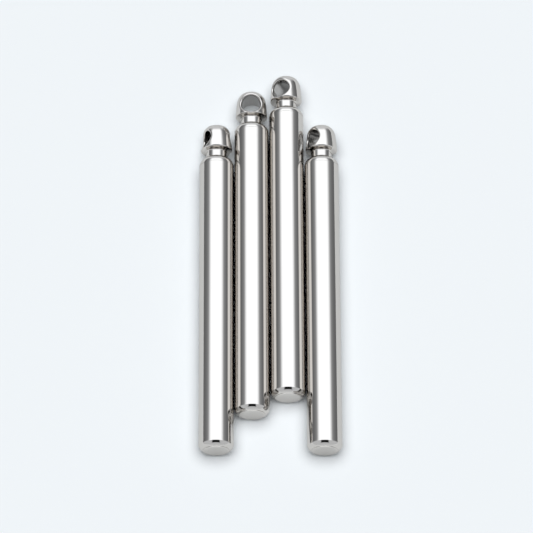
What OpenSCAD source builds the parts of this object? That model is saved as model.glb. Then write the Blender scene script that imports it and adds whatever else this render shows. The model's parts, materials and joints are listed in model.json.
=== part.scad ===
// Set of four screw-closed steel message capsules, lying side by side on a table.
// Each capsule is a tube with a pressed end plug and a screw cap that ends in an eyelet.
// Inside lies a cartridge: letter rings threaded on a core rod and clamped by a nut.
//
// Millimetres. +Z is up and the table is z = 0. The capsules lie along Y with their
// eyelets towards +Y, and capsule 1 is the one at -X. The origin is the middle of the
// set's footprint. Each sub-part is drawn standing on its capsule's own axis, with z = 0
// at the flat end, and lay_down() puts it in place.

/* [Set] */
// Clear gap between two neighbouring tubes
capsule_gap = 0.15; // [0.1:0.05:10]
// How far each capsule is pushed towards +Y
stagger = [0.2, 13, 19.1, 0]; // [0:0.1:60]
// Roll of each eyelet's axis from upright towards -X, in degrees
eye_roll = [67, 2, 31, 53]; // [-90:1:90]

/* [Tube] */
// Outer diameter of the tube
tube_d = 12; // [11.8:0.1:16]
// Length of the tube, from its flat end to the seam under the cap
tube_len = 105; // [103:0.1:130]
// Bore of the tube, which is also the end plug's diameter
bore_d = 9; // [8.9:0.05:9.2]
// Radius of the rounded edge around the flat end, which runs on over the end plug
end_round = 2.2; // [0.5:0.1:2.4]
// Thickness of the end plug
plug_len = 4; // [2:0.1:4]

/* [Cap] */
// Width of the seam between tube and cap
seam_gap = 0.04; // [0.02:0.01:0.2]
// Diameter of the neck under the head
neck_d = 7.2; // [6.4:0.1:8]
// Straight length of the neck
neck_len = 2.5; // [1.5:0.1:5]
// Radius of the rounded shoulder below the neck
shoulder_r = 3; // [2.5:0.1:3.5]
// Largest diameter of the head, at its rim
rim_d = 11; // [10:0.02:11.6]
// Height of the head from the neck to the crown
head_len = 10.15; // [9.8:0.05:11.5]
// Height of the sloping underside of the head
underside_len = 0.6; // [0.4:0.1:0.8]
// Radius of the crown
crown_r = 7.4; // [7:0.1:10]
// Radius of the gentle curve down the side of the head
side_r = 36; // [20:1:50]
// Diameter of the eyelet
eye_d = 6.5; // [4:0.1:6.6]
// Depth of the eyelet's centre below the crown
eye_depth = 5.85; // [5.4:0.05:6]

/* [Thread and seal] */
// Pitch of the closing thread
thread_pitch = 1; // [0.8:0.1:1.2]
// Number of thread ridges on the cap
thread_turns = 7; // [4:1:7]
// Depth of the thread groove in the tube wall
groove_depth = 0.5; // [0.3:0.05:0.6]
// Thickness of the sealing ring
seal_thick = 1.1; // [0.8:0.05:1.2]

/* [Cartridge] */
// Number of letter rings on each core rod
ring_count = 25; // [12:1:25]
// Outer diameter of a letter ring
ring_d = 8.4; // [7:0.1:8.6]
// Length of one letter ring
ring_len = 3.2; // [2.5:0.05:3.2]
// Diameter of the core rod
rod_d = 3; // [2.5:0.1:3]
// Thickness of the lock nut
nut_len = 2.4; // [2:0.1:2.6]
// Width of the lock nut across its flats
nut_flats = 5.5; // [5:0.1:6]

/* [Hidden] */
$fn = 96;
CAPSULES = [1:4];
PARTS = ["tube", "end_plug", "eye_cap", "o_ring", "core_rod", "letter_rings", "washer", "lock_nut"];

steel = [0.78, 0.78, 0.77];
dark_steel = [0.6, 0.61, 0.62];
black_rubber = [0.08, 0.08, 0.09];

tube_r = tube_d / 2;
bore_r = bore_d / 2;
neck_r = neck_d / 2;
rim_r = rim_d / 2;
eye_r = eye_d / 2;
rod_r = rod_d / 2;
ring_r = ring_d / 2;

// The cap, measured up the capsule's axis
seam_z = tube_len + seam_gap;
shoulder_x = tube_r - shoulder_r;
shoulder_len = sqrt(pow(shoulder_r, 2) - pow(neck_r - shoulder_x, 2));
neck_z = seam_z + shoulder_len;
head_z = neck_z + neck_len;
capsule_len = head_z + head_len;
eye_z = capsule_len - eye_depth;
side_drop = 9.5; // depth below the crown at which the side of the head is widest

// The seal: a groove on the cap inside a counterbore in the mouth of the tube
mouth_r = bore_r + 0.6;
land_r = mouth_r - 0.2;
land_len = 0.5;
seal_groove_len = seal_thick + 0.2;
seal_groove_r = mouth_r - seal_thick - 0.2;
seal_groove_z = seam_z - 0.34 - seal_groove_len;
land_z = seal_groove_z - land_len;
mouth_z = land_z - 0.4;

// The closing thread, drawn as separate ridges and grooves around the axis
ridge_r = bore_r - 0.05;
ridge_height = 0.35;
shank_r = ridge_r - ridge_height;
thread_top_z = mouth_z - 0.6;
shank_end_z = thread_top_z - thread_turns * thread_pitch - 0.4;

// The cartridge, measured up the capsule's axis
play = 0.1;
fit = 0.04;
flange_len = 1.5;
flange_z = plug_len + play;
ring_gap = 0.05;
ring_pitch = ring_len + ring_gap;
first_ring_z = flange_z + flange_len + ring_gap;
washer_d = 7;
washer_len = 0.5;
washer_z = first_ring_z + ring_count * ring_pitch;
nut_z = washer_z + washer_len + 0.02;
rod_end_z = nut_z + nut_len + 0.5;
loose_bore_r = rod_r + 0.1;
rod_ridge_pitch = 0.5;
rod_ridge_count = 6;

// Places of the four capsules
pitch_x = tube_d + capsule_gap;
set_len = capsule_len + max(stagger) - min(stagger);
function capsule_x(k) = (k - 2.5) * pitch_x;
function capsule_y(k) = stagger[k - 1] - min(stagger) - set_len / 2;

// Puts what is drawn up the axis of capsule k onto the table
module lay_down(k) {
    translate([capsule_x(k), capsule_y(k), tube_r]) rotate([-90, 0, 0]) children();
}

// A washer shape with its edges eased by a small chamfer
module eased_ring(outer_r, inner_r, len, ease = 0.15) {
    rotate_extrude() polygon([
        [inner_r, 0], [outer_r - ease, 0], [outer_r, ease],
        [outer_r, len - ease], [outer_r - ease, len], [inner_r, len]
    ]);
}

// Cross-section of one thread ridge, standing on a wall at x = 0
module ridge_section(height, base, crest) {
    polygon([[-0.1, -base / 2], [0, -base / 2], [height, -crest / 2],
             [height, crest / 2], [0, base / 2], [-0.1, base / 2]]);
}

// Outline of the closed tube: a straight side and a rounded edge at the flat end
module tube_outline() {
    translate([0, end_round]) square([tube_r, tube_len - end_round]);
    square([tube_r - end_round, end_round]);
    translate([tube_r - end_round, end_round]) intersection() {
        circle(end_round);
        translate([0, -end_round]) square(end_round);
    }
}

module tube() {
    color(steel) rotate_extrude() difference() {
        tube_outline();
        translate([0, -1]) square([bore_r, tube_len + 2]);
        translate([0, mouth_z]) square([mouth_r, tube_len]);
        for (turn = [0 : thread_turns])
            translate([bore_r, thread_top_z - turn * thread_pitch])
                ridge_section(groove_depth, 0.85 * thread_pitch, 0.12);
    }
}

module end_plug() {
    color(steel) rotate_extrude() intersection() {
        tube_outline();
        square([bore_r, plug_len]);
    }
}

// Side view of the head: a crown arc and a gently curved side over a sloping underside
module head_section() {
    intersection() {
        translate([0, capsule_len - crown_r]) circle(crown_r);
        translate([rim_r - side_r, capsule_len - side_drop]) circle(side_r);
        polygon([
            [0, head_z - 0.5], [neck_r, head_z - 0.5], [neck_r, head_z],
            [2 * rim_r - neck_r, head_z + 2 * underside_len],
            [2 * rim_r - neck_r, capsule_len + 1], [0, capsule_len + 1]
        ]);
    }
}

module shoulder_section() {
    translate([shoulder_x, seam_z]) intersection() {
        circle(shoulder_r);
        square([shoulder_r, shoulder_len]);
    }
    translate([0, seam_z]) square([shoulder_x, shoulder_len]);
    translate([0, seam_z]) square([neck_r, shoulder_len + neck_len]);
}

module shank_section() {
    translate([0, shank_end_z + 0.4]) square([shank_r, land_z - shank_end_z - 0.4]);
    polygon([[0, shank_end_z], [shank_r - 0.4, shank_end_z],
             [shank_r, shank_end_z + 0.4], [0, shank_end_z + 0.4]]);
    translate([0, land_z]) square([land_r, land_len]);
    translate([0, seal_groove_z]) square([seal_groove_r, seal_groove_len]);
    translate([0, seal_groove_z + seal_groove_len])
        square([land_r, seam_z - seal_groove_z - seal_groove_len]);
    for (turn = [0 : thread_turns - 1])
        translate([shank_r, thread_top_z - (turn + 0.5) * thread_pitch])
            ridge_section(ridge_height, 0.75 * thread_pitch, 0.12);
}

module eye_cap(k) {
    color(steel) difference() {
        rotate_extrude() {
            head_section();
            shoulder_section();
            shank_section();
        }
        translate([0, 0, eye_z]) rotate([0, 0, -eye_roll[k - 1]]) rotate([90, 0, 0])
            cylinder(r = eye_r, h = 3 * rim_r, center = true);
    }
}

module o_ring() {
    color(black_rubber)
        translate([0, 0, seal_groove_z + seal_groove_len / 2])
            rotate_extrude()
                translate([seal_groove_r + 0.1 + seal_thick / 2, 0]) circle(d = seal_thick);
}

module core_rod() {
    color(dark_steel) {
        translate([0, 0, flange_z]) cylinder(r = ring_r, h = flange_len);
        translate([0, 0, flange_z]) cylinder(r = rod_r, h = washer_z - flange_z);
        translate([0, 0, washer_z - 0.1]) cylinder(r = rod_r - 0.25, h = rod_end_z - washer_z + 0.1);
        translate([0, 0, washer_z]) rotate_extrude()
            for (ridge = [0 : rod_ridge_count - 1])
                translate([rod_r - 0.25, (ridge + 0.5) * rod_ridge_pitch])
                    ridge_section(0.22, 0.8 * rod_ridge_pitch, 0.08);
    }
}

module letter_rings() {
    color(steel) for (ring = [0 : ring_count - 1])
        translate([0, 0, first_ring_z + ring * ring_pitch])
            eased_ring(ring_r, loose_bore_r, ring_len);
}

module washer() {
    color(dark_steel) translate([0, 0, washer_z])
        difference() {
            cylinder(r = washer_d / 2, h = washer_len);
            translate([0, 0, -1]) cylinder(r = rod_r + fit, h = washer_len + 2);
        }
}

module lock_nut() {
    color(dark_steel) translate([0, 0, nut_z]) difference() {
        cylinder(d = nut_flats / cos(30), h = nut_len, $fn = 6);
        translate([0, 0, -1]) cylinder(r = rod_r + fit, h = nut_len + 2);
    }
}

for (k = CAPSULES) {
    lay_down(k) tube();
    lay_down(k) end_plug();
    lay_down(k) eye_cap(k);
    lay_down(k) o_ring();
    lay_down(k) core_rod();
    lay_down(k) letter_rings();
    lay_down(k) washer();
    lay_down(k) lock_nut();
}
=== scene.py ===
"""Looks of a set of four mirror-polished screw-closed capsules on a pale floor.

Every piece is built in millimetres in its capsule's own frame: x and z across, h up the
axis from the flat end. Its object stands on that axis at the flat end, in metres.
"""
import json
import math

import bpy
import numpy as np
from mathutils import Matrix, Vector


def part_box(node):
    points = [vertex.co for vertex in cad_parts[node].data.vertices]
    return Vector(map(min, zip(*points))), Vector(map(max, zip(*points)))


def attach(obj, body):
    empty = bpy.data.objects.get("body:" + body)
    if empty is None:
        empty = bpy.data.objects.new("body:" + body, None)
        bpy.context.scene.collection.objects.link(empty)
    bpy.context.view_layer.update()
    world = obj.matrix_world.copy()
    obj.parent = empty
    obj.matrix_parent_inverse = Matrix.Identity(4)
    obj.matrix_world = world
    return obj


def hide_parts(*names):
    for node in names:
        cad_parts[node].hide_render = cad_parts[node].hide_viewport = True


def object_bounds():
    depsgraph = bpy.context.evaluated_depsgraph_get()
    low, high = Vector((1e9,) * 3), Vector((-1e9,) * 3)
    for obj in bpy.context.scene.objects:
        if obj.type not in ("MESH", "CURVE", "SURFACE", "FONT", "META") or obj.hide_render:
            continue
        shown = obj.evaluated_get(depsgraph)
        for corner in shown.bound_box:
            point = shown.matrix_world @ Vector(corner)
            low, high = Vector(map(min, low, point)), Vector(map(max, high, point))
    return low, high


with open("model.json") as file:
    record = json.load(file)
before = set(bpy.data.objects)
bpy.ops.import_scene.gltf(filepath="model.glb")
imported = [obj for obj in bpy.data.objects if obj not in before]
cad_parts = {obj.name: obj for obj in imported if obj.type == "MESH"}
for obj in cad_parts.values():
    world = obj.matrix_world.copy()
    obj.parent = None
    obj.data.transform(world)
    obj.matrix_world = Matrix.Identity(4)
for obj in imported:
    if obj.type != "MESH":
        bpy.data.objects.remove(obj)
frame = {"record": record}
cad_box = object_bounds()

MM = 0.001
CAPSULES = (1, 2, 3, 4)
mounts = {mount["name"]: mount for mount in frame["record"]["mounts"]}


# ---------------------------------------------------------------- sizes, in millimetres

class Capsule:
    """Where one capsule lies, and the heights and radii of its pieces, read from the frame."""

    def __init__(self, k):
        low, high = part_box(f"tube_{k}")
        self.place = Vector(((low.x + high.x) / 2, low.y, (low.z + high.z) / 2))
        self.tube_r = (high.x - low.x) / 2 / MM
        self.tube_len = (high.y - low.y) / MM
        self.crown_h = self.height(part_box(f"eye_cap_{k}")[1])
        self.shank_end_h = self.height(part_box(f"eye_cap_{k}")[0])
        self.plug = self.span(f"end_plug_{k}")
        self.seal = self.span(f"o_ring_{k}")
        self.rod = self.span(f"core_rod_{k}")
        self.rings = self.span(f"letter_rings_{k}")
        self.washer = self.span(f"washer_{k}")
        self.nut = self.span(f"lock_nut_{k}")
        eyelet = mounts[f"eyelet_{k}"]
        self.eye_r = eyelet["dims"]["r_mm"]
        self.eye_h = self.height(Vector(eyelet["pos_m"]))
        self.eye_axis = np.array(eyelet["axis"])

    def in_bore(self, point):
        """Whether a point of the head lies on the wall of its eyelet."""
        along = point.x * self.eye_axis[0] + point.z * self.eye_axis[2]
        aside = point.x * self.eye_axis[2] - point.z * self.eye_axis[0]
        off_axis = math.hypot(aside, point.y - self.eye_h)
        return abs(off_axis - self.eye_r) < WALL_TOLERANCE and abs(along) < CROWN_R

    def height(self, corner):
        return (corner.y - self.place.y) / MM

    def span(self, node):
        """Outer radius, lowest height and highest height of a round node."""
        low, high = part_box(node)
        return (high.x - low.x) / 2 / MM, self.height(low), self.height(high)


TURN_STEPS = 192       # sides of a turned surface
RING_STEPS = 96        # sides of a letter ring
NUT_STEPS = 240        # points around the hexagon nut
HEAD_CELL = 0.15       # grid cell of the drilled head's surface
THREAD_STEP = 0.08     # height between two rings of points on a closing thread
ROD_THREAD_STEP = 0.05
WALL_TOLERANCE = 0.02  # faces this close to the eyelet's radius are its wall
EDGE = 0.06            # rounding of a sharp machined edge
FINE_EDGE = 0.015      # rounding at the edges of a seam that polishing has closed up
SEAM = 0.04            # gap between tube and cap
PLUG_FIT = 0.004       # gap around the end plug
END_ROUND = 2.2        # rounded edge around the flat end, over the tube and its plug

NECK_R = 3.6
NECK_LEN = 2.5
SHOULDER_R = 3.0
CROWN_R = 7.4
SIDE_R = 36.0
SIDE_DROP = 9.5        # the head is widest this far below its crown
RIM_R = 5.5
HEAD_LEN = 10.15
UNDERSIDE_LEN = 0.6
CORNER_BLEND = 1.2     # crown runs into the side of the head
RIM_BLEND = 0.3
MOUTH_BLEND = 1.0      # rounded mouth of the eyelet
NECK_FILLET = 0.25
FOOT_FILLET = 0.4      # the neck flares into the shoulder

BORE_R = 4.5
MOUTH_R = 5.1
MOUTH_DEPTH = 2.5
THREAD_PITCH = 1.0
THREAD_LEN = 7.0
THREAD_DROP = 3.1      # first turn of the thread below the end of the tube
THREAD_OVERRUN = 0.5   # the tube's thread runs on this far past the cap's at both ends
SHANK_R = 4.1
SHANK_TIP_LEN = 0.5    # plain tip of the shank below its thread
SHANK_CHAMFER = 0.4
RIDGE_HEIGHT = 0.34
GROOVE_DEPTH = 0.45
LAND_R = 4.9
LAND_LEN = 0.5
SEAL_GROOVE_R = 3.8
SEAL_GROOVE_LEN = 1.3
SEAL_GROOVE_DROP = 0.34

ROD_R = 1.5
ROD_ROOT_R = 1.25      # bottom of the rod's thread
ROD_PITCH = 0.5
ROD_RIDGE_HEIGHT = 0.21
FLANGE_LEN = 1.5
RING_COUNT = 25
RING_GAP = 0.05
RING_BORE_R = 1.6
WASHER_BORE_R = 1.54
NUT_BORE_R = 1.55
NUT_GROOVE_DEPTH = 0.12


# ---------------------------------------------------------------- turned outlines

def arc(centre, radius, start, end, steps):
    """Points on an arc from angle start to angle end, in degrees from the radial direction."""
    turn = np.radians(np.linspace(start, end, steps + 1))
    return [(centre[0] + radius * math.cos(a), centre[1] + radius * math.sin(a)) for a in turn]


def ease(outline, radius=EDGE, steps=3, closed=True):
    """Rounds every corner of an outline that turns by more than 20 degrees.

    A rounding takes up to 0.4 of the shorter edge beside it.
    """
    points = [np.array(p, float) for p in outline]
    count = len(points)
    eased = []
    for i, corner in enumerate(points):
        if not closed and i in (0, count - 1):
            eased.append(corner)
            continue
        back = points[i - 1] - corner
        ahead = points[(i + 1) % count] - corner
        back_len, ahead_len = np.linalg.norm(back), np.linalg.norm(ahead)
        straightness = -np.dot(back, ahead) / (back_len * ahead_len)
        if straightness > math.cos(math.radians(20)):
            eased.append(corner)
            continue
        reach = min(radius, 0.4 * back_len, 0.4 * ahead_len)
        start = corner + back / back_len * reach
        end = corner + ahead / ahead_len * reach
        for s in np.linspace(0, 1, steps + 1):
            eased.append((1 - s) ** 2 * start + 2 * s * (1 - s) * corner + s ** 2 * end)
    return eased


def brace(outline, closed=True, near=0.02, long_edge=0.3):
    """Adds a point just inside both ends of every long edge, which keeps its shading flat."""
    braced = []
    count = len(outline)
    for i, point in enumerate(outline):
        braced.append(point)
        if not closed and i == count - 1:
            break
        edge = outline[(i + 1) % count] - point
        length = np.linalg.norm(edge)
        if length > long_edge:
            braced.append(point + edge * near / length)
            braced.append(point + edge * (1 - near / length))
    return braced


def steps_between(start, end, step):
    """Heights from start to end, both kept, about one step apart."""
    return np.linspace(start, end, max(2, round(abs(end - start) / step) + 1))


def no_thread(angle, height):
    """The ridge height of a surface without a thread."""
    return 0 * angle


def helix(depth, pitch, low, high, base=0.8, crest=0.14, run_out=0.6):
    """Height of a right-handed ridge that fades out over run_out at both ends of its length.

    Its base and its crest are fractions of the pitch.
    """
    def ridge(angle, height):
        off_crest = np.abs((height / pitch + angle / (2 * math.pi)) % 1 - 0.5)
        flank = np.clip((base / 2 - off_crest) / (base / 2 - crest / 2), 0, 1)
        fade = np.clip(np.minimum(height - low, high - height) / run_out, 0, 1)
        return depth * flank * fade
    return ridge


def turned(outline, closed=True, thread=no_thread, angles=None):
    """Turns an outline of (radius, height) points about the axis, as points and faces.

    A closed outline gives a ring. An open one starts on the first ring and ends on the axis
    or starts and ends on it, wherever its radius is zero.
    """
    if angles is None:
        angles = np.arange(TURN_STEPS) * 2 * math.pi / TURN_STEPS
    steps = len(angles)
    points, rows = [], []
    for radius, height in outline:
        first = sum(len(p) for p in points)
        if radius == 0:
            points.append(np.array([[0, height, 0]]))
            rows.append(np.full(steps, first))
            continue
        wide = radius + thread(angles, height)
        ring = np.column_stack([wide * np.cos(angles), np.full(steps, height), wide * np.sin(angles)])
        points.append(ring)
        rows.append(first + np.arange(steps))
    if closed:
        rows.append(rows[0])
    faces = []
    for row, following in zip(rows, rows[1:]):
        here, there = np.roll(row, -1), np.roll(following, -1)
        for a, b, c, d in zip(row, here, there, following):
            faces.append(list(dict.fromkeys((int(a), int(b), int(c), int(d)))))
    return np.vstack(points), faces


def joined(shells):
    """Several shells of points and faces as one."""
    points, faces = [], []
    for shell_points, shell_faces in shells:
        first = sum(len(p) for p in points)
        points.append(shell_points)
        faces += [[first + p for p in face] for face in shell_faces]
    return np.vstack(points), faces


# ---------------------------------------------------------------- the bell head, as a distance field

def cut_round(a, b, radius):
    """What is inside both a and b, with their shared edge rounded off."""
    corner = np.hypot(np.maximum(a + radius, 0), np.maximum(b + radius, 0))
    return np.minimum(np.maximum(a, b), -radius) + corner


def add_round(a, b, radius):
    """What is inside a or b, with a fillet where they meet."""
    corner = np.hypot(np.maximum(radius - a, 0), np.maximum(radius - b, 0))
    return np.maximum(np.minimum(a, b), radius) - corner


def head_field(capsule):
    """Signed distance to the surface of the drilled head and its neck, below zero inside."""
    head_h = capsule.crown_h - HEAD_LEN
    slope = math.hypot(RIM_R - NECK_R, UNDERSIDE_LEN)

    def field(points):
        x, h, z = points[..., 0], points[..., 1], points[..., 2]
        r = np.hypot(x, z)
        crown = np.hypot(r, h - capsule.crown_h + CROWN_R) - CROWN_R
        side = np.hypot(r - RIM_R + SIDE_R, h - capsule.crown_h + SIDE_DROP) - SIDE_R
        underside = ((r - NECK_R) * UNDERSIDE_LEN - (h - head_h) * (RIM_R - NECK_R)) / slope
        bell = cut_round(cut_round(crown, side, CORNER_BLEND), underside, RIM_BLEND)
        neck = np.maximum(r - NECK_R, h - head_h - UNDERSIDE_LEN)
        along = x * capsule.eye_axis[0] + z * capsule.eye_axis[2]
        across = np.sqrt(np.maximum(x ** 2 + z ** 2 - along ** 2, 0))
        bore = np.hypot(across, h - capsule.eye_h) - capsule.eye_r
        return cut_round(add_round(bell, neck, NECK_FILLET), -bore, MOUTH_BLEND)
    return field


def slope_of(field, points, reach=0.002):
    """Direction in which the field grows fastest, as unit vectors."""
    grad = np.empty_like(points)
    for axis in range(3):
        step = np.zeros(3)
        step[axis] = reach
        grad[:, axis] = field(points + step) - field(points - step)
    return grad / np.linalg.norm(grad, axis=1, keepdims=True)


def skin(field, low, high, cell):
    """Quads over the surface where the field is zero, with one point in each crossed grid cell.

    The surface may leave the grid through its lowest layer. Returns the points, the faces
    and the points of that layer.
    """
    lines = [np.arange(a, b + cell, cell) for a, b in zip(low, high)]
    grid = np.stack(np.meshgrid(*lines, indexing="ij"), axis=-1)
    inside = field(grid) < 0
    corners = np.zeros([len(line) - 1 for line in lines], int)
    for i in (0, 1):
        for j in (0, 1):
            for k in (0, 1):
                corners += inside[i:i + corners.shape[0], j:j + corners.shape[1], k:k + corners.shape[2]]
    crossed = (corners > 0) & (corners < 8)
    number = np.full(crossed.shape, -1)
    number[crossed] = np.arange(crossed.sum())
    where = np.argwhere(crossed)
    points = np.array(low) + (where + 0.5) * cell

    faces = []
    for axis in range(3):
        side_a, side_b = np.eye(3, dtype=int)[[(axis + 1) % 3, (axis + 2) % 3]]
        change = np.diff(inside.astype(int), axis=axis)
        spots = np.argwhere(change != 0)
        inner = (spots[:, (axis + 1) % 3] > 0) & (spots[:, (axis + 2) % 3] > 0)
        spots = spots[inner]
        quads = np.stack([number[tuple((spots - shift).T)]
                          for shift in (side_a + side_b, side_b, 0 * side_a, side_a)], axis=1)
        leaving = change[tuple(spots.T)] > 0
        quads[leaving] = quads[leaving, ::-1]
        faces.append(quads)
    return points, np.vstack(faces), np.flatnonzero(where[:, 1] == 0)


def settle(field, points, faces, rounds=4):
    """Evens out the points and moves them onto the surface."""
    for _ in range(rounds):
        total = np.zeros_like(points)
        count = np.zeros(len(points))
        middle = points[faces].mean(axis=1)
        for column in faces.T:
            np.add.at(total, column, middle)
            np.add.at(count, column, 1)
        points = total / count[:, None]
        for _ in range(4):
            points = points - field(points)[:, None] * slope_of(field, points)
    return points


# ---------------------------------------------------------------- pieces

def make_piece(name, capsule, body, slot, material, shell, normals=None):
    """A smooth-shaded mesh object that stands for the CAD node of the same name.

    Given normals shade its first points. The wall of an eyelet keeps its drilled finish, with painted shade
    darkening its colour.
    """
    points, faces = shell
    mesh = bpy.data.meshes.new(name)
    mesh.from_pydata((points * MM).tolist(), [], faces)
    mesh.polygons.foreach_set("use_smooth", [True] * len(mesh.polygons))
    mesh.update()
    if normals is not None:
        shading = np.empty(len(mesh.vertices) * 3)
        mesh.vertices.foreach_get("normal", shading)
        shading = shading.reshape(-1, 3)
        shading[:len(normals)] = normals
        mesh.normals_split_custom_set_from_vertices(shading.tolist())
    mesh.materials.append(material)
    if name.startswith("eye_cap"):
        # faces on the eyelet's wall take the drilled steel, whose darker colour is painted shade in the
        # bore
        mesh.materials.append(drilled)
        for face in mesh.polygons:
            face.material_index = int(capsule.in_bore(face.center / MM))
    piece = bpy.data.objects.new(f"{name}_look", mesh)
    piece.location = capsule.place
    bpy.context.scene.collection.objects.link(piece)
    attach(piece, body)
    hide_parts(name)
    return piece


def bore_angle(c):
    """Angle on the rounded end edge at which the tube's bore meets it, in degrees."""
    return -math.degrees(math.acos((BORE_R - c.tube_r + END_ROUND) / END_ROUND))


def tube_shell(c):
    """The tube: rounded outer edge, plain side, stepped mouth and a threaded bore."""
    thread_high = c.tube_len - THREAD_DROP + THREAD_OVERRUN
    thread_low = thread_high - THREAD_LEN - 2 * THREAD_OVERRUN
    outline = arc((c.tube_r - END_ROUND, END_ROUND), END_ROUND, bore_angle(c), 0, 24)
    outline += [(c.tube_r, c.tube_len), (MOUTH_R, c.tube_len), (MOUTH_R, c.tube_len - MOUTH_DEPTH),
                (BORE_R, c.tube_len - MOUTH_DEPTH)]
    outline += [(BORE_R, h) for h in steps_between(thread_high, thread_low, THREAD_STEP)]
    ridge = helix(GROOVE_DEPTH, THREAD_PITCH, thread_low, thread_high)
    return turned(brace(ease(outline, radius=FINE_EDGE)), thread=ridge)


def end_plug_shell(c):
    """The disc pressed into the flat end, with the shallow dimple that facing leaves at its middle."""
    bore_r, low, high = c.plug
    plug_r = bore_r - PLUG_FIT
    dimple = [(0, 0.012), (0.25, 0.01), (0.5, 0.002), (0.8, 0)]
    outline = [(radius, low + depth) for radius, depth in dimple]
    outline += arc((c.tube_r - END_ROUND, low + END_ROUND), END_ROUND, -90, bore_angle(c), 8)
    outline += [(plug_r, high), (0, high)]
    return turned(brace(ease(outline, radius=FINE_EDGE, closed=False), closed=False), closed=False)


def eye_cap_shell(c):
    """The cap: drilled head on a neck, then turned shoulder, seal groove and threaded shank."""
    seam_h = c.tube_len + SEAM
    shoulder_x = c.tube_r - SHOULDER_R
    shoulder_len = math.sqrt(SHOULDER_R ** 2 - (NECK_R - shoulder_x) ** 2)
    cut_h = seam_h + shoulder_len + NECK_LEN / 2
    reach = RIM_R + 2 * HEAD_CELL
    field = head_field(c)
    points, faces, open_ring = skin(field, (-reach, cut_h - HEAD_CELL / 2, -reach),
                                    (reach, c.crown_h + 2 * HEAD_CELL, reach), HEAD_CELL)
    points = settle(field, points, faces)

    # the open end of the neck becomes an even ring, which the turned part goes on from
    around = np.arctan2(points[open_ring, 2], points[open_ring, 0])
    open_ring = open_ring[np.argsort(around)]
    steps = len(open_ring)
    angles = np.sort(around).mean() + (np.arange(steps) - (steps - 1) / 2) * 2 * math.pi / steps
    points[open_ring] = np.column_stack([NECK_R * np.cos(angles), np.full(steps, cut_h),
                                         NECK_R * np.sin(angles)])
    normals = slope_of(field, points)

    thread_high = c.tube_len - THREAD_DROP
    thread_low = c.shank_end_h + SHANK_TIP_LEN
    groove_high = seam_h - SEAL_GROOVE_DROP
    groove_low = groove_high - SEAL_GROOVE_LEN
    foot_x = NECK_R + FOOT_FILLET
    foot_len = math.sqrt((SHOULDER_R + FOOT_FILLET) ** 2 - (foot_x - shoulder_x) ** 2)
    neck_angle = math.degrees(math.atan2(foot_len, foot_x - shoulder_x))
    outline = [(NECK_R, cut_h)]
    outline += arc((foot_x, seam_h + foot_len), FOOT_FILLET, 180, 180 + neck_angle, 8)
    outline += arc((shoulder_x, seam_h), SHOULDER_R, neck_angle, 0, 36)[1:]
    outline += [(LAND_R, seam_h), (LAND_R, groove_high), (SEAL_GROOVE_R, groove_high),
                (SEAL_GROOVE_R, groove_low), (LAND_R, groove_low), (LAND_R, groove_low - LAND_LEN),
                (SHANK_R, groove_low - LAND_LEN)]
    outline += [(SHANK_R, h) for h in steps_between(thread_high, thread_low, THREAD_STEP)]
    outline += [(SHANK_R - SHANK_CHAMFER, c.shank_end_h), (0, c.shank_end_h)]
    eased = brace(ease(outline, radius=FINE_EDGE, closed=False), closed=False)
    ridge = helix(RIDGE_HEIGHT, THREAD_PITCH, thread_low, thread_high)
    lower_points, lower_faces = turned(eased, closed=False, thread=ridge, angles=angles)

    # the first ring of the turned part is the open ring of the neck
    head_count = len(points)
    renumber = np.concatenate([open_ring, head_count + np.arange(len(lower_points) - steps)])
    all_faces = faces.tolist() + [[int(renumber[p]) for p in face] for face in lower_faces]
    return (np.vstack([points, lower_points[steps:]]), all_faces), normals


def o_ring_shell(c):
    """The sealing ring, with the fine flash line that moulding leaves around it."""
    outer_r, low, high = c.seal
    cord_r = (high - low) / 2
    flash = 0.012
    flash_spread = 8
    outline = []
    for degrees in np.arange(0, 360, 7.5):
        off_flash = abs((degrees + 90) % 180 - 90)
        radius = cord_r - flash + flash * max(0, 1 - off_flash / flash_spread)
        turn = math.radians(degrees)
        outline.append((outer_r - cord_r + radius * math.cos(turn),
                        (low + high) / 2 + radius * math.sin(turn)))
    return turned(outline)


def core_rod_shell(c):
    """The rod that the rings are threaded on: a flange, a plain length and a threaded end."""
    flange_r, low, high = c.rod
    flange_high = low + FLANGE_LEN
    plain_high = c.washer[1] + 0.1
    fillet = 0.1
    run_in = 0.2
    tip_len = 0.3
    tip_r = 2 * ROD_ROOT_R - ROD_R
    outline = [(0, low), (flange_r, low), (flange_r, flange_high), (ROD_R + fillet, flange_high),
               (ROD_R, flange_high + fillet), (ROD_R, plain_high), (ROD_ROOT_R, plain_high + run_in)]
    outline += [(ROD_ROOT_R, h)
                for h in steps_between(plain_high + tip_len, high - tip_len, ROD_THREAD_STEP)]
    outline += [(tip_r, high), (0, high)]
    ridge = helix(ROD_RIDGE_HEIGHT, ROD_PITCH, plain_high + run_in, high - run_in, run_out=0.3)
    return turned(brace(ease(outline, closed=False), closed=False), closed=False, thread=ridge)


def letter_rings_shell(c):
    """The blank letter rings, each with chamfered edges, in one piece as they are one node."""
    radius, low, high = c.rings
    pitch = (high - low + RING_GAP) / RING_COUNT
    length = pitch - RING_GAP
    chamfer = 0.2
    bore_chamfer = 0.1
    bore_edge_r = RING_BORE_R + bore_chamfer
    angles = np.arange(RING_STEPS) * 2 * math.pi / RING_STEPS
    shells = []
    for number in range(RING_COUNT):
        base = low + number * pitch
        top = base + length
        outline = [(bore_edge_r, base), (radius - chamfer, base), (radius, base + chamfer),
                   (radius, top - chamfer), (radius - chamfer, top), (bore_edge_r, top),
                   (RING_BORE_R, top - bore_chamfer), (RING_BORE_R, base + bore_chamfer)]
        shells.append(turned(brace(ease(outline, radius=0.04, steps=2)), angles=angles))
    return joined(shells)


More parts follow.
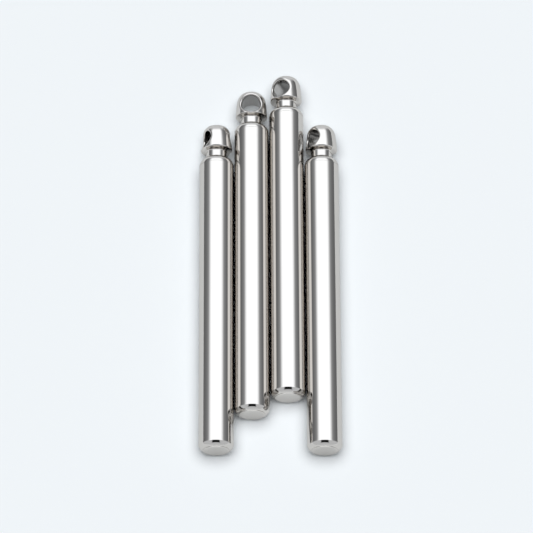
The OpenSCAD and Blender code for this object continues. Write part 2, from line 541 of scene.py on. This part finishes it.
def washer_shell(c):
    """A punched washer: rounded edges on one face, a sharper rim on the other."""
    radius, low, high = c.washer
    rounding = 0.15
    chamfer = 0.05
    burr_gap = 0.02
    outline = [(WASHER_BORE_R, low), (radius - burr_gap, low)]
    outline += arc((radius - rounding, high - rounding), rounding, 0, 90, 6)
    outline += [(WASHER_BORE_R + chamfer, high), (WASHER_BORE_R, high - chamfer)]
    return turned(brace(ease(outline, radius=0.03)))


def lock_nut_shell(c):
    """A hexagon nut with corners chamfered at 30 degrees and a threaded bore."""
    corner_r, low, high = c.nut
    flat_r = corner_r * math.cos(math.pi / 6)
    angles = np.arange(NUT_STEPS) * 2 * math.pi / NUT_STEPS
    hexagon = flat_r / np.cos((angles + math.pi / 6) % (math.pi / 3) - math.pi / 6)

    # outside, from the lower chamfer to the upper one
    chamfer_len = (corner_r - flat_r) * math.tan(math.pi / 6)
    limits = [(low + depth, flat_r - 0.05 + depth / math.tan(math.pi / 6))
              for depth in np.linspace(0, chamfer_len, 7)]
    limits += [(low + high - height, limit) for height, limit in reversed(limits)]
    rings = [(height, np.minimum(hexagon, limit)) for height, limit in limits]

    # down through the bore, which is flared at both ends
    grooves = helix(NUT_GROOVE_DEPTH, ROD_PITCH, low, high, run_out=0.2)
    flare_len = 0.1
    for height in steps_between(high, low, 0.06):
        flare = 0.1 * max(0, 1 - min(height - low, high - height) / flare_len)
        rings.append((height, NUT_BORE_R + grooves(angles, height) + flare))

    points = [np.column_stack([wide * np.cos(angles), np.full(NUT_STEPS, height), wide * np.sin(angles)])
              for height, wide in rings]
    rows = [np.arange(NUT_STEPS) + NUT_STEPS * i for i in range(len(points))]
    rows.append(rows[0])
    faces = []
    for row, following in zip(rows, rows[1:]):
        faces += np.stack([row, np.roll(row, -1), np.roll(following, -1), following], axis=1).tolist()
    return np.vstack(points), faces


# ---------------------------------------------------------------- materials

def new_material(name):
    """An empty node material with a metal or plastic shader, and its tree."""
    material = bpy.data.materials.new(name)
    material.use_nodes = True
    return material, material.node_tree, material.node_tree.nodes["Principled BSDF"]


def link(tree, source, target):
    """Connects an output socket to an input socket."""
    tree.links.new(source, target)


def stretched(tree, scale, seed):
    """Coordinates in the piece's own frame, scaled along x, h and z and moved on by the seed."""
    place = tree.nodes.new("ShaderNodeTexCoord")
    mapping = tree.nodes.new("ShaderNodeMapping")
    mapping.inputs["Scale"].default_value = scale
    mapping.inputs["Location"].default_value = (seed * 1.7, seed * 2.3, seed * 3.1)
    link(tree, place.outputs["Object"], mapping.inputs["Vector"])
    return mapping.outputs["Vector"]


def noise(tree, vector, scale, detail, rough=0.55):
    """Noise with about scale features in every metre, and finer ones in detail octaves."""
    texture = tree.nodes.new("ShaderNodeTexNoise")
    texture.inputs["Scale"].default_value = scale
    texture.inputs["Detail"].default_value = detail
    texture.inputs["Roughness"].default_value = rough
    link(tree, vector, texture.inputs["Vector"])
    return texture.outputs["Fac"]


def remap(tree, value, low, high, to_low, to_high):
    """The value's range from low to high, brought to to_low up to to_high."""
    node = tree.nodes.new("ShaderNodeMapRange")
    node.interpolation_type = "SMOOTHSTEP"
    link(tree, value, node.inputs["Value"])
    node.inputs["From Min"].default_value = low
    node.inputs["From Max"].default_value = high
    node.inputs["To Min"].default_value = to_low
    node.inputs["To Max"].default_value = to_high
    return node.outputs["Result"]


def blend_colours(tree, factor, first, second):
    """The first colour where the factor is 0 and the second where it is 1."""
    node = tree.nodes.new("ShaderNodeMix")
    node.data_type = "RGBA"
    link(tree, factor, node.inputs["Factor"])
    node.inputs["A"].default_value = (*first, 1)
    node.inputs["B"].default_value = (*second, 1)
    return node.outputs["Result"]


def feed(tree, socket, value):
    """Sets an input socket to a plain number, or links it to another node's output."""
    if isinstance(value, (int, float)):
        socket.default_value = value
    else:
        link(tree, value, socket)


def mix_values(tree, factor, first, second):
    """The first value where the factor is 0 and the second where it is 1."""
    node = tree.nodes.new("ShaderNodeMix")
    node.data_type = "FLOAT"
    link(tree, factor, node.inputs["Factor"])
    feed(tree, node.inputs["A"], first)
    feed(tree, node.inputs["B"], second)
    return node.outputs["Result"]


def math_node(tree, operation, *values):
    """A calculation on sockets or plain numbers."""
    node = tree.nodes.new("ShaderNodeMath")
    node.operation = operation
    for socket, value in zip(node.inputs, values):
        feed(tree, socket, value)
    return node.outputs["Value"]


def bump(tree, shader, height, depth):
    """Relief on the surface, of the given depth in metres where the height changes by 1."""
    node = tree.nodes.new("ShaderNodeBump")
    node.inputs["Strength"].default_value = 1.0
    node.inputs["Distance"].default_value = depth
    link(tree, height, node.inputs["Height"])
    link(tree, node.outputs["Normal"], shader.inputs["Normal"])


def polished_steel(k):
    """Mirror-polished steel: faint buffing marks around the axis, hair scratches and thin smudges."""
    material, tree, shader = new_material(f"polished_steel_{k}")
    shader.inputs["Metallic"].default_value = 1.0
    shader.inputs["Specular Tint"].default_value = (0.75, 0.75, 0.75, 1)
    smudge = noise(tree, stretched(tree, (1, 0.6, 1), k), 170, detail=5)
    tint = blend_colours(tree, smudge, (0.628, 0.600, 0.570), (0.598, 0.569, 0.537))
    link(tree, tint, shader.inputs["Base Color"])
    buffing = noise(tree, stretched(tree, (0.05, 1, 0.05), k), 3200, detail=3)
    hair = noise(tree, stretched(tree, (1, 0.03, 1), k + 5), 5200, detail=2)
    scratch = remap(tree, hair, 0.66, 0.74, 0, 1)
    haze = remap(tree, smudge, 0.5, 0.72, 0.03, 0.085)
    link(tree, math_node(tree, "MULTIPLY_ADD", scratch, 0.05, haze), shader.inputs["Roughness"])
    height = math_node(tree, "SUBTRACT", buffing, scratch)
    bump(tree, shader, height, 1.5e-7)
    return material


def drilled_steel_painted_shade():
    """The wall of the eyelet as the drill left it: duller, with fine tool marks, and darker as painted
    shade inside the bore.
    """
    material, tree, shader = new_material("drilled_steel_painted_shade")
    shader.inputs["Metallic"].default_value = 1.0
    marks = noise(tree, stretched(tree, (1, 1, 1), 10), 1400, detail=4)
    # darker base colour: painted shade inside the eyelet's bore; the spread between the two tones follows
    # the real tool marks
    tint = blend_colours(tree, marks, (0.46, 0.445, 0.43), (0.36, 0.35, 0.34))
    link(tree, tint, shader.inputs["Base Color"])
    link(tree, remap(tree, marks, 0.3, 0.7, 0.06, 0.14), shader.inputs["Roughness"])
    bump(tree, shader, marks, 1e-6)
    return material


def satin_steel():
    """Turned steel of the letter rings: fine even lathe lines and a soft sheen."""
    material, tree, shader = new_material("satin_steel")
    shader.inputs["Metallic"].default_value = 1.0
    lines = noise(tree, stretched(tree, (0.02, 1, 0.02), 2), 9000, detail=3)
    stain = noise(tree, stretched(tree, (1, 1, 1), 3), 260, detail=5)
    tint = blend_colours(tree, stain, (0.68, 0.675, 0.66), (0.55, 0.55, 0.545))
    link(tree, tint, shader.inputs["Base Color"])
    link(tree, remap(tree, lines, 0.3, 0.7, 0.2, 0.34), shader.inputs["Roughness"])
    bump(tree, shader, lines, 2e-6)
    return material


def machined_steel():
    """Steel straight from the lathe: coarser tool lines, darker, with thin oil stains."""
    material, tree, shader = new_material("machined_steel")
    shader.inputs["Metallic"].default_value = 1.0
    lines = noise(tree, stretched(tree, (0.03, 1, 0.03), 4), 5200, detail=2)
    stain = noise(tree, stretched(tree, (1, 1, 1), 6), 420, detail=6)
    tint = blend_colours(tree, stain, (0.56, 0.565, 0.57), (0.4, 0.4, 0.395))
    link(tree, tint, shader.inputs["Base Color"])
    link(tree, remap(tree, stain, 0.3, 0.7, 0.26, 0.42), shader.inputs["Roughness"])
    bump(tree, shader, lines, 4e-6)
    return material


def seal_rubber():
    """Black nitrile rubber with a fine moulded grain and a trace of grease."""
    material, tree, shader = new_material("seal_rubber")
    grain = noise(tree, stretched(tree, (1, 1, 1), 7), 9000, detail=3)
    grease = noise(tree, stretched(tree, (1, 1, 1), 8), 700, detail=4)
    tint = blend_colours(tree, grease, (0.028, 0.028, 0.03), (0.045, 0.044, 0.043))
    link(tree, tint, shader.inputs["Base Color"])
    link(tree, remap(tree, grease, 0.35, 0.65, 0.28, 0.52), shader.inputs["Roughness"])
    bump(tree, shader, grain, 6e-6)
    return material


# ---------------------------------------------------------------- studio

FLOOR_TINT = (0.807, 0.845, 0.873)
FLOOR_RADIUS = 1.8     # metres
BACKDROP = (0.871, 0.913, 0.947)    # what the camera sees past the floor, the lit floor's colour
# Radiance of the overhead softbox and the walls beside it, by degrees off the zenith across the set
ACROSS = [(0, 1.75), (32, 1.75), (41, 1.25), (48, 0.62), (55, 0.36), (70, 0.23), (90, 0.19)]
FAR_END = 0.9          # radiance towards the eyelets, near the horizon
NEAR_END = 0.75        # radiance towards the flat ends
DARK_SPOT = 0.02       # radiance of the dark spot at the camera's place
LIGHT_TINT = (0.955, 1.0, 1.055)
SUN_STRENGTH = 3.4     # the softbox's light on the floor, as a wide sun
SUN_WIDTH = 60         # degrees
FLOOR_GLINT = 0.5      # how much of the light that the steel throws onto the floor is kept

# The camera: degrees, metres, millimetres of lens, and millimetres from the middle of the set
CAMERA_TILT = 23.5
CAMERA_ROLL = -0.2636
CAMERA_DISTANCE = 1.158
CAMERA_LENS = 228.1
CAMERA_SENSOR = 36
CAMERA_AIM = (-1.035, -2.28, 0)


def softbox_ramp(tree, angle):
    """Radiance over the softbox and side walls, from the table of angles."""
    peak = ACROSS[0][1]
    node = tree.nodes.new("ShaderNodeValToRGB")
    stops = node.color_ramp.elements
    while len(stops) < len(ACROSS):
        stops.new(0.5)
    for stop, (degrees, radiance) in zip(stops, ACROSS):
        stop.position = degrees / 90
        stop.color = (radiance / peak,) * 3 + (1,)
    link(tree, math_node(tree, "DIVIDE", angle, math.pi / 2), node.inputs["Fac"])
    return math_node(tree, "MULTIPLY", node.outputs["Color"], peak)


def dark_spot(tree, off_side, y, z):
    """1 in the directions behind and around the camera, 0 elsewhere, with soft edges."""
    sides = remap(tree, off_side, 0.33, 0.45, 1, 0)
    towards_eyelets = remap(tree, y, -0.06, 0.02, 1, 0)
    towards_flat_ends = remap(tree, y, -0.78, -0.68, 0, 1)
    horizon = remap(tree, z, -0.03, 0.03, 0, 1)
    spot = sides
    for edge in (towards_eyelets, towards_flat_ends, horizon):
        spot = math_node(tree, "MULTIPLY", spot, edge)
    return spot


def studio_level(tree):
    """Radiance of the studio by direction: softbox, side walls, both ends and the dark spot."""
    direction = tree.nodes.new("ShaderNodeTexCoord")
    parts = tree.nodes.new("ShaderNodeSeparateXYZ")
    link(tree, direction.outputs["Generated"], parts.inputs["Vector"])
    x, y, z = (parts.outputs[name] for name in "XYZ")
    off_side = math_node(tree, "ABSOLUTE", x)
    across = math_node(tree, "ARCTAN2", off_side, z)
    far = remap(tree, y, 0.72, 0.95, 0, 1)
    near = remap(tree, y, -0.1, 0.05, 1, 0)
    level = mix_values(tree, far, softbox_ramp(tree, across), FAR_END)
    level = mix_values(tree, near, level, NEAR_END)
    return mix_values(tree, dark_spot(tree, off_side, y, z), level, DARK_SPOT)


def make_world():
    """The studio as the steel reflects it, and a plain backdrop for the camera.

    It reaches the floor only by way of the steel, because the sun lamp lights the floor directly.
    """
    world = bpy.data.worlds.new("studio")
    world.use_nodes = True
    bpy.context.scene.world = world
    tree = world.node_tree
    tree.nodes.clear()
    seen = tree.nodes.new("ShaderNodeLightPath")
    onto_floor = math_node(tree, "MINIMUM", seen.outputs["Diffuse Depth"], 1)
    glint = mix_values(tree, onto_floor, 1, FLOOR_GLINT)
    studio = tree.nodes.new("ShaderNodeBackground")
    studio.inputs["Color"].default_value = (*LIGHT_TINT, 1)
    link(tree, math_node(tree, "MULTIPLY", studio_level(tree), glint), studio.inputs["Strength"])
    backdrop = tree.nodes.new("ShaderNodeBackground")
    backdrop.inputs["Color"].default_value = (*BACKDROP, 1)
    pick = tree.nodes.new("ShaderNodeMixShader")
    link(tree, seen.outputs["Is Camera Ray"], pick.inputs["Fac"])
    link(tree, studio.outputs["Background"], pick.inputs[1])
    link(tree, backdrop.outputs["Background"], pick.inputs[2])
    output = tree.nodes.new("ShaderNodeOutputWorld")
    link(tree, pick.outputs["Shader"], output.inputs["Surface"])
    world.cycles_visibility.diffuse = False


def make_sun():
    """The softbox's own light on the floor: from straight above and wide, so shadows are soft."""
    light = bpy.data.lights.new("softbox", "SUN")
    light.energy = SUN_STRENGTH
    light.angle = math.radians(SUN_WIDTH)
    lamp = bpy.data.objects.new("softbox", light)
    lamp.visible_glossy = False
    bpy.context.scene.collection.objects.link(lamp)


def floor_material():
    """Matt pale paint with a very faint cloud in it."""
    material, tree, shader = new_material("floor")
    cloud = noise(tree, stretched(tree, (1, 1, 1), 9), 3, detail=2)
    tint = blend_colours(tree, cloud, FLOOR_TINT, tuple(0.995 * part for part in FLOOR_TINT))
    link(tree, tint, shader.inputs["Base Color"])
    shader.inputs["Roughness"].default_value = 0.8
    shader.inputs["Specular IOR Level"].default_value = 0.0
    return material


def make_floor(centre):
    """A large round pale floor just under the capsules."""
    steps = 96
    turn = np.arange(steps) * 2 * math.pi / steps
    ring = [(centre.x + FLOOR_RADIUS * math.cos(a), centre.y + FLOOR_RADIUS * math.sin(a), 0) for a in turn]
    mesh = bpy.data.meshes.new("floor")
    mesh.from_pydata(ring, [], [list(range(steps))])
    mesh.materials.append(floor_material())
    floor = bpy.data.objects.new("floor", mesh)
    bpy.context.scene.collection.objects.link(floor)


def make_camera(centre):
    """A long lens above the flat ends, looking down steeply along the set, with a slight roll."""
    tilt, roll = math.radians(CAMERA_TILT), math.radians(CAMERA_ROLL)
    aim = centre + Vector(CAMERA_AIM) * MM
    back = Vector((0, -math.sin(tilt), math.cos(tilt)))
    up = Vector((0, math.cos(tilt), math.sin(tilt)))
    side = Vector((1, 0, 0))
    side, up = side * math.cos(roll) + up * math.sin(roll), up * math.cos(roll) - side * math.sin(roll)
    lens = bpy.data.cameras.new("camera")
    lens.lens = CAMERA_LENS
    lens.sensor_width = CAMERA_SENSOR
    camera = bpy.data.objects.new("camera", lens)
    turned_frame = Matrix((side, up, back)).transposed().to_4x4()
    camera.matrix_world = Matrix.Translation(aim + back * CAMERA_DISTANCE) @ turned_frame
    bpy.context.scene.collection.objects.link(camera)
    bpy.context.scene.camera = camera


# ---------------------------------------------------------------- the scene

satin = satin_steel()
machined = machined_steel()
rubber = seal_rubber()
# drilled steel for the eyelet's wall; its darker colour is painted shade in the bore
drilled = drilled_steel_painted_shade()
for k in CAPSULES:
    capsule = Capsule(k)
    polished = polished_steel(k)
    cap, cap_normals = eye_cap_shell(capsule)
    for piece, body, slot, material, *shell in (
            ("tube", "capsule", "polished_steel", polished, tube_shell(capsule)),
            ("end_plug", "capsule", "polished_steel", polished, end_plug_shell(capsule)),
            ("eye_cap", "cap", "polished_steel", polished, cap, cap_normals),
            ("o_ring", "seal", "seal_rubber", rubber, o_ring_shell(capsule)),
            ("core_rod", "cartridge", "machined_steel", machined, core_rod_shell(capsule)),
            ("letter_rings", "cartridge", "satin_steel", satin, letter_rings_shell(capsule)),
            ("washer", "clamp", "machined_steel", machined, washer_shell(capsule)),
            ("lock_nut", "nut", "machined_steel", machined, lock_nut_shell(capsule))):
        make_piece(f"{piece}_{k}", capsule, f"{body}_{k}", slot, material, *shell)

centre = (cad_box[0] + cad_box[1]) / 2
make_floor(centre)
make_camera(centre)
make_world()
make_sun()
bpy.context.scene.view_settings.view_transform = "Standard"
